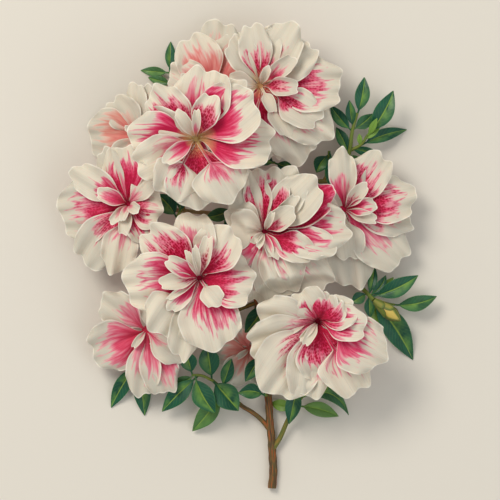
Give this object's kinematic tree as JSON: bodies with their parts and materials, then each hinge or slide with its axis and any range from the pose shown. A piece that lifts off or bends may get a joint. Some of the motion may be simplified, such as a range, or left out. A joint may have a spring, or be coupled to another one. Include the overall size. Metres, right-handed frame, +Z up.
{
  "type": "flowering azalea branch",
  "caption": "Cut flowering azalea branch lying on its side: double white blooms flushed crimson at the throat, dark leathery leaves in sprays, one green bud and a forked woody stem.",
  "frame": {"origin": "the point on the supporting surface under the middle of the branch as it lies", "axes": "+Y from the cut end of the stem towards the top of the flower head, +X to the right when looking down on the blooms, +Z up"},
  "size_m": [0.2097, 0.2606, 0.0687],
  "materials": {
    "petals": "matt cream-white petals with a crimson flush and dots from the throat",
    "leaves": "satin dark green leaves with a yellow-green midrib",
    "bark": "matt brown bark with orange and olive streaks",
    "bud_scales": "satin yellow-green bud scales, brown at the base"
  },
  "bodies": {
    "root": {"bloom_behind_left": "petals", "bloom_behind_low": "petals", "bloom_behind_top": "petals", "bloom_far_right": "petals", "bloom_high_left": "petals", "bloom_left": "petals", "bloom_low_left": "petals", "bloom_low_right": "petals", "bloom_right": "petals", "bloom_small": "petals", "bloom_top": "petals", "bud": "bud_scales", "leaves_below_top": "leaves", "leaves_between": "leaves", "leaves_centre": "leaves", "leaves_centre_left": "leaves", "leaves_centre_top": "leaves", "leaves_far_left": "leaves", "leaves_low_centre": "leaves", "leaves_low_left": "leaves", "leaves_low_right": "leaves", "leaves_right": "leaves", "leaves_top_left": "leaves", "leaves_top_right": "leaves", "leaves_under_low_right": "leaves", "woody_stem": "bark"}
  },
  "joints": []
}
